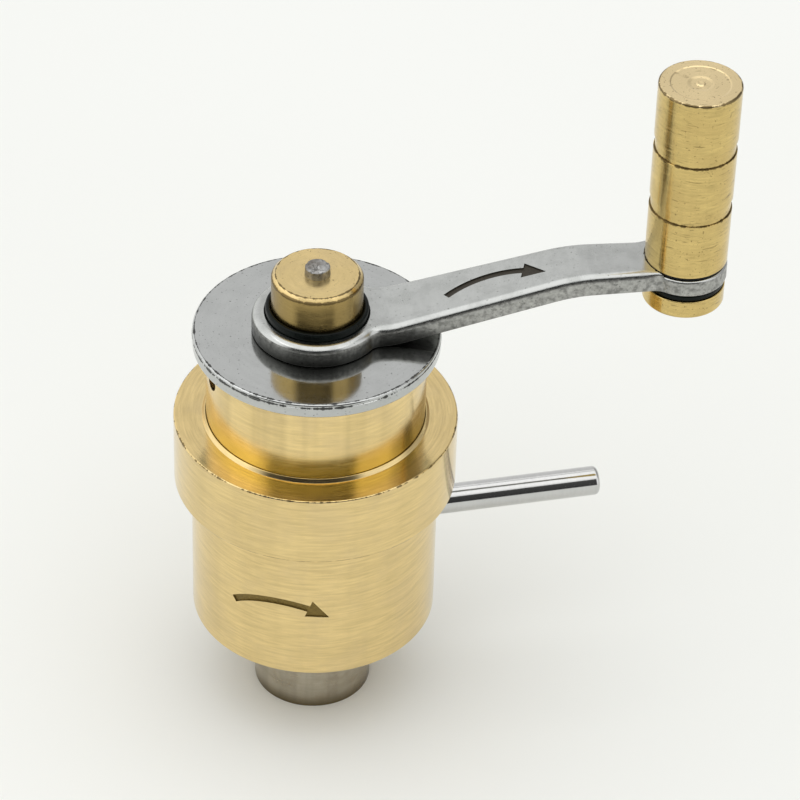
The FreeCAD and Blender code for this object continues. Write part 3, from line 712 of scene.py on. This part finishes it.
def make_barrel():
    """Turned body whose wall is filled anew round the engraved arrow."""
    mark_columns = 46
    corner = 0.03 * MM
    first_column = round((ARROW_BEARING / (2 * math.pi) % 1) * SEGMENTS) - mark_columns // 2
    columns = range(first_column, first_column + mark_columns)
    wall_low = BODY_FOOT + EDGE
    wall_high = RING_FOOT - corner

    def in_mark_field(place, next_place, column):
        on_wall = abs(place.x - BODY_R) < TOUCHING and abs(next_place.x - BODY_R) < TOUCHING
        return on_wall and abs(place.y - next_place.y) > 5 * MM and column in columns

    shell = Shell()
    rings, outline = lathe(shell, [
        (DRUM_SEAT_R, BODY_FOOT, 0),
        (BODY_R, BODY_FOOT, EDGE),
        (BODY_R, RING_FOOT, corner),
        (RING_R, RING_FOOT, EDGE),
        (RING_R, RING_TOP, EDGE),
        (LIP_FOOT_R, RING_TOP, corner),
        (BORE_R + 0.07 * MM, LIP_TOP, 0.04 * MM),
        (BORE_R, LIP_TOP, 0.02 * MM),
        (BORE_R, RING_TOP - BORE_DEPTH, 0),
        (TUBE_BORE_R, RING_TOP - BORE_DEPTH, 0),
        (TUBE_BORE_R, BODY_FOOT + BODY_FLOOR, 0),
        (DRUM_SEAT_R, BODY_FOOT + BODY_FLOOR, 0)], left_out=in_mark_field)
    wall = [k for k in range(len(outline)) if abs(outline[k][0].x - BODY_R) < TOUCHING
            and wall_low - TOUCHING < outline[k][0].y < wall_high + TOUCHING]
    low_ring = rings[min(wall, key=lambda k: outline[k][0].y)]
    high_ring = rings[max(wall, key=lambda k: outline[k][0].y)]
    low_v = min(outline[k][0].y for k in wall) / MM
    high_v = max(outline[k][0].y for k in wall) / MM
    step = 2 * math.pi * BODY_R / MM / SEGMENTS
    ends = list(columns) + [first_column + mark_columns]
    border = [(k * step, low_v, low_ring[k % SEGMENTS]) for k in ends]
    border += [(k * step, high_v, high_ring[k % SEGMENTS]) for k in reversed(ends)]

    def surface(u, v, depth):
        angle = u * MM / BODY_R
        out = Vector((math.cos(angle), math.sin(angle), 0))
        place = out * (BODY_R - depth * MM)
        place.z = v * MM
        return place, out

    centre_u = (first_column + mark_columns / 2) * step
    arrow = arrow_mark(centre_u, ARROW_HEIGHT, 9.0, 1.5)
    spare = grid(ends[0] * step, ends[-1] * step, low_v, high_v, step, 0.6)
    sheet_with_marks(shell, border, [], [arrow], spare, surface, MARK_DEPTH, (0, 1))
    mesh = shell.mesh("barrel_turned")
    new_piece("barrel_turned", mesh, "body", [body_brass, brass_mark], "barrel_body")


# Steel crank, forged with a rounded upper edge.
EDGE_ROUND = 0.7
EYE_EDGE_ROUND = 0.28
FOOT_ROUND = 0.12
BORE_EDGE = 0.14


def smooth(value, start, end):
    share = min(1.0, max(0.0, (value - start) / (end - start)))
    return share * share * (3 - 2 * share)


def bent_height(x, low_radius, high_radius):
    """Height of a bent line above its lower end, in mm, for the radii of its two bends."""
    rise = CRANK_RISE / MM
    low_x = LOW_BEND_X / MM
    high_x = HIGH_BEND_X / MM
    slope = math.atan2(rise, high_x - low_x)
    low_reach = low_radius * math.tan(slope / 2)
    high_reach = high_radius * math.tan(slope / 2)
    if x <= low_x - low_reach:
        return 0.0
    if x < low_x + low_reach * math.cos(slope):
        run = x - low_x + low_reach
        return low_radius - math.sqrt(low_radius ** 2 - run ** 2)
    if x <= high_x - high_reach * math.cos(slope):
        return (x - low_x) * math.tan(slope)
    if x < high_x + high_reach:
        run = high_x + high_reach - x
        return rise - high_radius + math.sqrt(high_radius ** 2 - run ** 2)
    return rise


def from_handle(x, y):
    return math.hypot(x - HANDLE_X / MM, y)


def crank_top(x, y):
    """Height of the crank's upper face in mm, with a spot face round the handle, open at the eye."""
    arm = bent_height(x, LOW_BEND_R / MM, HIGH_BEND_R / MM) + (HUB_LOW + CRANK_THICK) / MM
    open_side = smooth(x, HANDLE_X / MM - 2.5, HANDLE_X / MM - 1.9)
    reach = SPOT_FACE_R / MM + 0.2 * open_side
    spot = 1 - smooth(from_handle(x, y), reach - 0.02, reach + 0.04)
    return arm - SPOT_FACE_DROP / MM * spot


def crank_under(x, y):
    thick = CRANK_THICK / MM
    return bent_height(x, LOW_BEND_R / MM + thick, HIGH_BEND_R / MM - thick) + HUB_LOW / MM


def slope_direction(height, x, y, side):
    """The direction square to a height field, up (1) or down (-1)."""
    reach = 0.01
    along = (height(x + reach, y) - height(x - reach, y)) / (2 * reach)
    across = (height(x, y + reach) - height(x, y - reach)) / (2 * reach)
    return Vector((-along, -across, 1)).normalized() * side


def crank_outline():
    """The crank in plan, in mm: points and outward directions, from the hub's far end round to it."""
    hub = HUB_R / MM
    eye = EYE_R / MM
    reach = HANDLE_X / MM
    root = ARM_ROOT_HALF / MM
    fillet = NECK_ROUND / MM
    along = Vector((reach, ARM_END_HALF / MM - root)).normalized()
    out = Vector((-along.y, along.x))
    start = Vector((0, root)) + out * fillet

    def fillet_centre(circle_centre, radius, near):
        """Where a circle of the fillet's size touches both the edge and the round end."""
        offset = start - circle_centre
        half = offset.dot(along)
        square = half * half - offset.dot(offset) + (radius + fillet) ** 2
        return start + along * (-half + near * math.sqrt(square))

    hub_centre = Vector((0, 0))
    eye_centre = Vector((reach, 0))
    hub_fillet = fillet_centre(hub_centre, hub, 1)
    eye_fillet = fillet_centre(eye_centre, eye, -1)
    half = []

    def arc(centre, radius, first, last, spacing, outward):
        steps = max(2, math.ceil(abs(last - first) * radius / spacing))
        for k in range(steps + 1):
            angle = first + (last - first) * k / steps
            direction = Vector((math.cos(angle), math.sin(angle)))
            half.append((centre + direction * radius, direction * outward))

    hub_angle = math.atan2(hub_fillet.y, hub_fillet.x)
    eye_offset = eye_fillet - eye_centre
    eye_angle = math.atan2(eye_offset.y, eye_offset.x)
    edge_angle = math.atan2(-out.y, -out.x)
    arc(hub_centre, hub, math.pi, hub_angle, 0.25, 1)
    arc(hub_fillet, fillet, hub_angle - math.pi, edge_angle, 0.15, -1)
    first = hub_fillet - out * fillet
    last = eye_fillet - out * fillet
    steps = math.ceil((last - first).length / 0.3)
    for k in range(1, steps):
        half.append((first + (last - first) * k / steps, out.copy()))
    arc(eye_fillet, fillet, edge_angle, eye_angle - math.pi, 0.06, -1)
    arc(eye_centre, eye, eye_angle, 0, 0.2, 1)
    kept = []
    for place, direction in half:
        if not kept or (place - kept[-1][0]).length > 1e-5:
            kept.append((place, direction))
    mirrored = [(Vector((p.x, -p.y)), Vector((d.x, -d.y))) for p, d in reversed(kept[1:-1])]
    return kept + mirrored


def make_crank():
    """Forged crank: rounded sides, two bores and the faces between them, with an arrow on the upper one."""
    shell = Shell()
    round_steps = 6
    levels = []
    for place, out in crank_outline():
        eye_share = 1 - smooth(from_handle(place.x, place.y), EYE_R / MM + 0.1, EYE_R / MM + 1.2)
        rounding = EDGE_ROUND + (EYE_EDGE_ROUND - EDGE_ROUND) * eye_share
        stations = []
        flat_out = Vector((out.x, out.y, 0))
        for k in range(round_steps + 1):
            angle = math.pi / 2 * k / round_steps
            inward = rounding * (1 - math.sin(angle))
            spot = place - out * inward
            up = slope_direction(crank_top, spot.x, spot.y, 1)
            z = crank_top(spot.x, spot.y) - rounding * (1 - math.cos(angle))
            stations.append((Vector((spot.x, spot.y, z)),
                             up * math.cos(angle) + flat_out * math.sin(angle)))
        for k in range(4):
            angle = math.pi / 2 * k / 3
            inward = FOOT_ROUND * (1 - math.cos(angle))
            spot = place - out * inward
            down = slope_direction(crank_under, spot.x, spot.y, -1)
            z = crank_under(spot.x, spot.y) + FOOT_ROUND * (1 - math.sin(angle))
            stations.append((Vector((spot.x, spot.y, z)),
                             down * math.sin(angle) + flat_out * math.cos(angle)))
        levels.append([(shell.point(p * MM), p, direction) for p, direction in stations])
    bands = [[(number, direction) for number, p, direction in level] for level in zip(*levels)]
    for j, (upper, lower) in enumerate(zip(bands, bands[1:])):
        rough_side = 1 if j >= round_steps - 2 else 0
        shell.strip(upper, lower, rough_side, ordered=True)

    def bore(centre_x, radius, edge, segments):
        """The wall of a bore, and its loops on the upper and the lower face."""
        rows = []
        for k in range(4):
            angle = math.pi / 2 * k / 3
            rows.append((radius + edge * (1 - math.sin(angle)), edge * (1 - math.cos(angle)), angle))
        loops = []
        for r, drop, angle in rows + [(radius, None, math.pi / 2)]:
            loop = []
            for turn in full_turn(segments):
                out = Vector((math.cos(turn), math.sin(turn), 0))
                x = centre_x + out.x * r
                y = out.y * r
                z = crank_under(x, y) if drop is None else crank_top(x, y) - drop
                direction = Vector((0, 0, 1)) * math.cos(angle) - out * math.sin(angle)
                loop.append((shell.point(Vector((x, y, z)) * MM), x, y, direction))
            loops.append(loop)
        rings = [[(number, direction) for number, x, y, direction in loop] for loop in loops]
        for first, second in zip(rings, rings[1:]):
            shell.strip(first, second)
        return [[(x, y, number) for number, x, y, direction in loop] for loop in (loops[0], loops[-1])]

    hub_top, hub_foot = bore(0.0, SEAL_R / MM, BORE_EDGE, 96)
    eye_top, eye_foot = bore(HANDLE_X / MM, AXLE_R / MM + 0.05, 0.02, 48)
    reach = HANDLE_X / MM
    spare = grid(-6, reach + 4, -6, 6, 0.35, 0.5)
    for offset in (-0.08, -0.03, -0.01, 0.01, 0.03, 0.05, 0.1):
        ring = SPOT_FACE_R / MM + offset
        spare += [(reach + ring * math.cos(turn), ring * math.sin(turn)) for turn in full_turn(120)]
    top_border = [(level[0][1].x, level[0][1].y, level[0][0]) for level in levels]
    foot_border = [(level[-1][1].x, level[-1][1].y, level[-1][0]) for level in levels]

    def top_surface(u, v, depth):
        return Vector((u, v, crank_top(u, v) - depth)) * MM, slope_direction(crank_top, u, v, 1)

    def under_surface(u, v, depth):
        return Vector((u, v, crank_under(u, v))) * MM, slope_direction(crank_under, u, v, -1)

    arrow = arrow_mark(15.4, 0.05, 8.6, 1.3)
    sheet_with_marks(shell, top_border, [hub_top, eye_top], [arrow], spare, top_surface,
                     CRANK_MARK_DEPTH, (0, 2))
    sheet_with_marks(shell, foot_border, [hub_foot, eye_foot], [], spare, under_surface, 0.0, (1, 2))
    new_piece("crank_forged", shell.mesh("crank_forged"), "crank",
              [arm_steel, arm_side_steel, steel_mark], "crank_arm")


def make_disc():
    """Thumb disc with a rolled upper edge and the fine step that its stamping left."""
    step_z = DISC_TOP - DISC_STEP
    turned_piece("disc_turned", [
        (BUSH_R, DISC_LOW, 0),
        (DISC_R, DISC_LOW, 0.2 * MM),
        (DISC_R, step_z - 0.05 * MM, 0.02 * MM),
        (DISC_R - 0.06 * MM, step_z, 0.02 * MM),
        (DISC_R - 0.02 * MM, step_z + 0.05 * MM, 0.02 * MM),
        (DISC_R - 0.02 * MM, DISC_TOP, 0.2 * MM),
        (BUSH_R, DISC_TOP, 0)], "collar", disc_steel, "thumb_disc")


def make_seal():
    """Rubber ring with a round upper edge."""
    turned_piece("seal_ring", [
        (BUTTON_R + BUTTON_GAP, SEAL_LOW, 0),
        (SEAL_R - 0.01 * MM, SEAL_LOW, 0),
        (SEAL_R - 0.01 * MM, SEAL_TOP, 0.2 * MM),
        (BUTTON_R + BUTTON_GAP, SEAL_TOP, 0.2 * MM)], "crank", rubber, "button_seal")


def make_button():
    """Chamfered brass button round the rod."""
    turned_piece("button_turned", [
        (ROD_R, BUTTON_LOW, 0),
        (BUTTON_R, BUTTON_LOW, 0.1 * MM),
        (BUTTON_R, BUTTON_TOP - BUTTON_CHAMFER, 0.07 * MM),
        (BUTTON_R - BUTTON_CHAMFER, BUTTON_TOP, 0.06 * MM),
        (ROD_R, BUTTON_TOP, 0)], "ejector", button_brass, "push_button")


def make_grip():
    """Grip with two grooves and a turned hollow with a centre pip in its end."""
    corners = [(AXLE_R, GRIP_LOW, 0), (GRIP_R, GRIP_LOW, 0.12 * MM)]
    for groove in GROOVE_FEET:
        foot = GRIP_LOW + groove
        corners += [(GRIP_R, foot, 0.04 * MM),
                    (GRIP_R - GROOVE_DEEP, foot, 0.02 * MM),
                    (GRIP_R - GROOVE_DEEP, foot + GROOVE_WIDE, 0.02 * MM),
                    (GRIP_R, foot + GROOVE_WIDE, 0.04 * MM)]
    hollow = GRIP_TOP - 0.05 * MM
    corners += [(GRIP_R, GRIP_TOP, 0.17 * MM),
                (2.62 * MM, GRIP_TOP, 0.05 * MM),
                (2.5 * MM, hollow, 0.05 * MM),
                (1.15 * MM, hollow, 0.3 * MM),
                (0.85 * MM, GRIP_TOP - 0.09 * MM, 0.1 * MM),
                (0.42 * MM, GRIP_TOP - 0.09 * MM, 0.05 * MM),
                (0.3 * MM, GRIP_TOP - 0.01 * MM, 0.06 * MM),
                (0, GRIP_TOP - 0.03 * MM, 0),
                (0, GRIP_LOW + AXLE_IN_GRIP, 0),
                (AXLE_R, GRIP_LOW + AXLE_IN_GRIP, 0)]
    turned_piece("grip_turned", corners, "handle", grip_brass, "grip", ON_HANDLE)


def make_cap():
    """Cap that holds the handle's axle under the eye."""
    turned_piece("cap_turned", [
        (0, CAP_LOW, 0),
        (CAP_R, CAP_LOW, 0.2 * MM),
        (CAP_R, CAP_TOP, 0.08 * MM),
        (AXLE_R, CAP_TOP, 0),
        (AXLE_R, CAP_TOP - AXLE_IN_CAP, 0),
        (0, CAP_TOP - AXLE_IN_CAP, 0)], "handle", grip_brass, "axle_cap", ON_HANDLE)


def make_washers():
    """Rubber washers above and below the eye."""
    for node in ("upper_washer", "lower_washer"):
        foot = low(node).z
        top = high(node).z
        rounding = (top - foot) * 0.35
        turned_piece(node + "_ring", [
            (AXLE_R, foot, 0),
            (WASHER_R, foot, rounding),
            (WASHER_R, top, rounding),
            (AXLE_R, top, 0)], "handle", rubber, node, ON_HANDLE)


def make_pin():
    """Side pin, a turned piece laid along its bearing."""
    lying = Euler((0, math.pi / 2, PIN_BEARING)).to_matrix().to_4x4()
    place = Matrix.Translation((0, 0, PIN_HEIGHT)) @ lying
    turned_piece("pin_turned", [
        (0, PIN_INNER, 0),
        (PIN_R, PIN_INNER, 0.1 * MM),
        (PIN_R, PIN_TIP, 0.42 * MM),
        (0, PIN_TIP, 0)], "body", pin_steel, "side_pin", place)


def make_spring(name, node, wire_r, turns):
    """Coil spring in the room that its node keeps, between the two bodies that it pushes apart."""
    shell = Shell()
    radius = high(node).y - wire_r
    foot = low(node).z + wire_r
    head = high(node).z - wire_r
    closed = 2.06 * wire_r
    pitch = (head - foot - 2 * closed) / (turns - 2)
    steps = 40
    sides = 14
    loops = []
    for step in range(turns * steps + 1):
        turned = step / steps
        height = min(turned, 1) * closed + min(max(turned - 1, 0), turns - 2) * pitch
        height += max(turned - turns + 1, 0) * closed
        slope = closed if turned < 1 or turned > turns - 1 else pitch
        angle = 2 * math.pi * turned
        out = Vector((math.cos(angle), math.sin(angle), 0))
        round_length = 2 * math.pi * radius
        along = Vector((-out.y * round_length, out.x * round_length, slope)).normalized()
        across = along.cross(out)
        centre = out * radius + Vector((0, 0, foot + height))
        loop = []
        for round_angle in full_turn(sides):
            direction = out * math.cos(round_angle) + across * math.sin(round_angle)
            loop.append((shell.point(centre + direction * wire_r), direction))
        loops.append(loop)
        if step == 0:
            first_end = -along
    for here, there in zip(loops, loops[1:]):
        for side in range(sides):
            following = (side + 1) % sides
            shell.face([here[side], there[side], there[following], here[following]])
    for loop, end_direction in ((loops[0], first_end), (loops[-1], along)):
        shell.face([(number, end_direction) for number, direction in loop])
    spring = new_object(name, shell.mesh(name))
    spring.data.materials.append(plain_steel)
    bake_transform(spring)
    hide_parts(node)


def make_rod():
    """Rod whose upper end was hammered: a round form with an uneven top."""
    mesh_maker = bmesh.new()
    sides = 64
    heights = [(ROD_R, ROD_LOW), (ROD_R, BUTTON_TOP - 0.2 * MM)]
    heights += [(ROD_R, BUTTON_TOP + (ROD_TOP - BUTTON_TOP) * k / 8) for k in range(8)]
    edge = 0.16 * MM
    heights += [(ROD_R - edge * (1 - math.cos(a)), ROD_TOP - edge * (1 - math.sin(a)))
                for a in (math.radians(15 * k) for k in range(1, 7))]
    heights += [(ROD_R * k / 10, ROD_TOP) for k in range(8, 0, -1)]
    rings = []
    for radius, height in heights:
        ring = []
        for angle in full_turn(sides):
            place = Vector((radius * math.cos(angle), radius * math.sin(angle), height))
            exposed = smooth(height, BUTTON_TOP, ROD_TOP - edge)
            dent = noise.fractal(place * 1800, 0.8, 2.0, 3) * 0.3 * MM * exposed
            hollow = min(0.0, noise.noise(place * 900 + Vector((5, 1, 3)))) * 0.2 * exposed
            shrink = 1 - 0.03 * exposed + hollow
            z = min(place.z + min(dent, 0.0) - 0.02 * MM * exposed, ROD_TOP)
            ring.append(mesh_maker.verts.new((place.x * shrink, place.y * shrink, z)))
        rings.append(ring)
    for first, second in zip(rings, rings[1:]):
        for k in range(sides):
            following = (k + 1) % sides
            mesh_maker.faces.new((first[k], first[following], second[following], second[k]))
    mesh_maker.faces.new(rings[-1])
    mesh_maker.faces.new(rings[0][::-1])
    mesh = bpy.data.meshes.new("rod_hammered")
    mesh_maker.to_mesh(mesh)
    mesh_maker.free()
    mesh.shade_smooth()
    mesh.set_sharp_from_angle(angle=math.radians(50))
    new_piece("rod_hammered", mesh, "ejector", [rod_steel], "push_rod")


make_barrel()
make_crank()
make_disc()
make_seal()
make_button()
make_grip()
make_cap()
make_washers()
make_pin()
make_rod()
make_spring("return_coil", "return_spring", 0.35 * MM, 7)
make_spring("button_coil", "button_spring", 0.25 * MM, 7)

# The base meshes, hidden ones too, each in its own finish.
FINISH = (
    (body_brass, "barrel_body"), (collar_brass, "collar"), (button_brass, "push_button"),
    (grip_brass, "grip axle_cap"), (bush_bronze, "bearing_bush"), (disc_steel, "thumb_disc"),
    (arm_steel, "crank_arm"), (pin_steel, "side_pin"), (drum_steel, "winding_drum"),
    (rod_steel, "push_rod"), (rubber, "button_seal upper_washer lower_washer"),
    (plain_steel, "lock_screw return_spring spindle thrust_washer retaining_ring button_spring"),
    (plain_steel, "cross_pin ejector grip_axle"))
for material, names in FINISH:
    for name in names.split():
        data = NODES[name].data
        data.materials.clear()
        data.materials.append(material)


def make_floor():
    """Plain pale floor, wide enough for low views."""
    material, graph, place = new_material("floor")
    cloud = graph.noise(place, 8.0, 1.0)
    paint = graph.ramp(cloud, [(0.3, (0.895, 0.905, 0.87)), (0.7, (0.92, 0.93, 0.90))])
    shader = graph.node("BsdfPrincipled", Base_Color=paint, Roughness=0.7)
    shader.inputs["Specular IOR Level"].default_value = 0.1
    graph.surface(shader)
    mesh = bpy.data.meshes.new("floor")
    half = 2.0
    corners = [(-half, -half, 0), (half, -half, 0), (half, half, 0), (-half, half, 0)]
    mesh.from_pydata(corners, [], [(0, 1, 2, 3)])
    mesh.materials.append(material)
    new_object("floor", mesh)


# What polished metal sees of the studio at a middling height: (bearing from the front in degrees, level).
STUDIO = ((-180, 0.86), (-155, 0.98), (-130, 1.2), (-100, 1.45), (-66, 1.45), (-54, 0.9),
          (-44, 0.10), (-20, 0.02), (0, 0.04), (22, 0.03), (40, 0.15), (50, 1.1), (82, 1.2),
          (98, 0.6), (125, 0.48), (155, 0.48), (172, 0.8), (180, 0.86))
STUDIO_PEAK = 1.5
STUDIO_TURN = -8.0
REAR_PANEL = 1.3
REAR_PANEL_FOOT = (0.66, 0.73)
CEILING = 0.4
CEILING_FOOT = (0.76, 0.86)
FILL_LEVEL = 0.585
BACKDROP = (0.95, 0.955, 0.93, 1)
BACKDROP_LEVEL = 0.97
LAMP_LEVEL = 1.42
LAMP_SPREAD = math.radians(80)
LAMP_TILT = (math.radians(7), math.radians(-4), 0)


def light_world():
    """Even fill light, a studio for polished metal to reflect and a white backdrop for the camera."""
    world = bpy.data.worlds.new("studio")
    bpy.context.scene.world = world
    world.use_nodes = True
    graph = Graph(world.node_tree)
    direction = graph.node("TexCoord").outputs["Generated"]
    parts = graph.node("SeparateXYZ", Vector=direction).outputs
    bearing = graph.maths("ARCTAN2", parts[0], graph.maths("MULTIPLY", parts[1], -1.0))
    share = graph.maths("ADD", graph.maths("DIVIDE", bearing, 2 * math.pi), 0.5 - STUDIO_TURN / 360)
    share = graph.maths("FRACT", share)
    stops = [((degrees + 180) / 360, level / STUDIO_PEAK) for degrees, level in STUDIO]
    walls = graph.ramp(share, stops)
    at_rear = graph.maths("MULTIPLY", graph.step(parts[1], 0.0, 0.4),
                          graph.step(parts[2], *REAR_PANEL_FOOT))
    walls = graph.blend(at_rear, walls, (REAR_PANEL / STUDIO_PEAK,) * 3)
    above = graph.step(parts[2], *CEILING_FOOT)
    seen = graph.blend(above, walls, (CEILING / STUDIO_PEAK,) * 3)
    rays = graph.node("LightPath")
    glossy = graph.node("Background", Color=seen, Strength=STUDIO_PEAK)
    plain = graph.node("Background", Color=(1, 1, 1, 1), Strength=FILL_LEVEL)
    mix = graph.node("MixShader", Fac=rays.outputs["Is Glossy Ray"])
    graph.feed(mix, "1", plain.outputs[0])
    graph.feed(mix, "2", glossy.outputs[0])
    white = graph.node("Background", Color=BACKDROP, Strength=BACKDROP_LEVEL)
    final = graph.node("MixShader", Fac=rays.outputs["Is Camera Ray"])
    graph.feed(final, "1", mix.outputs[0])
    graph.feed(final, "2", white.outputs[0])
    graph.node("OutputWorld", Surface=final.outputs[0])


def light_lamps():
    """One soft overhead light, even over the whole floor."""
    data = bpy.data.lights.new("overhead", "SUN")
    data.angle = LAMP_SPREAD
    data.energy = LAMP_LEVEL
    new_object("overhead", data).matrix_world = Euler(LAMP_TILT).to_matrix().to_4x4()


make_floor()
light_world()
light_lamps()
place_camera()
bpy.context.scene.view_settings.view_transform = "Standard"
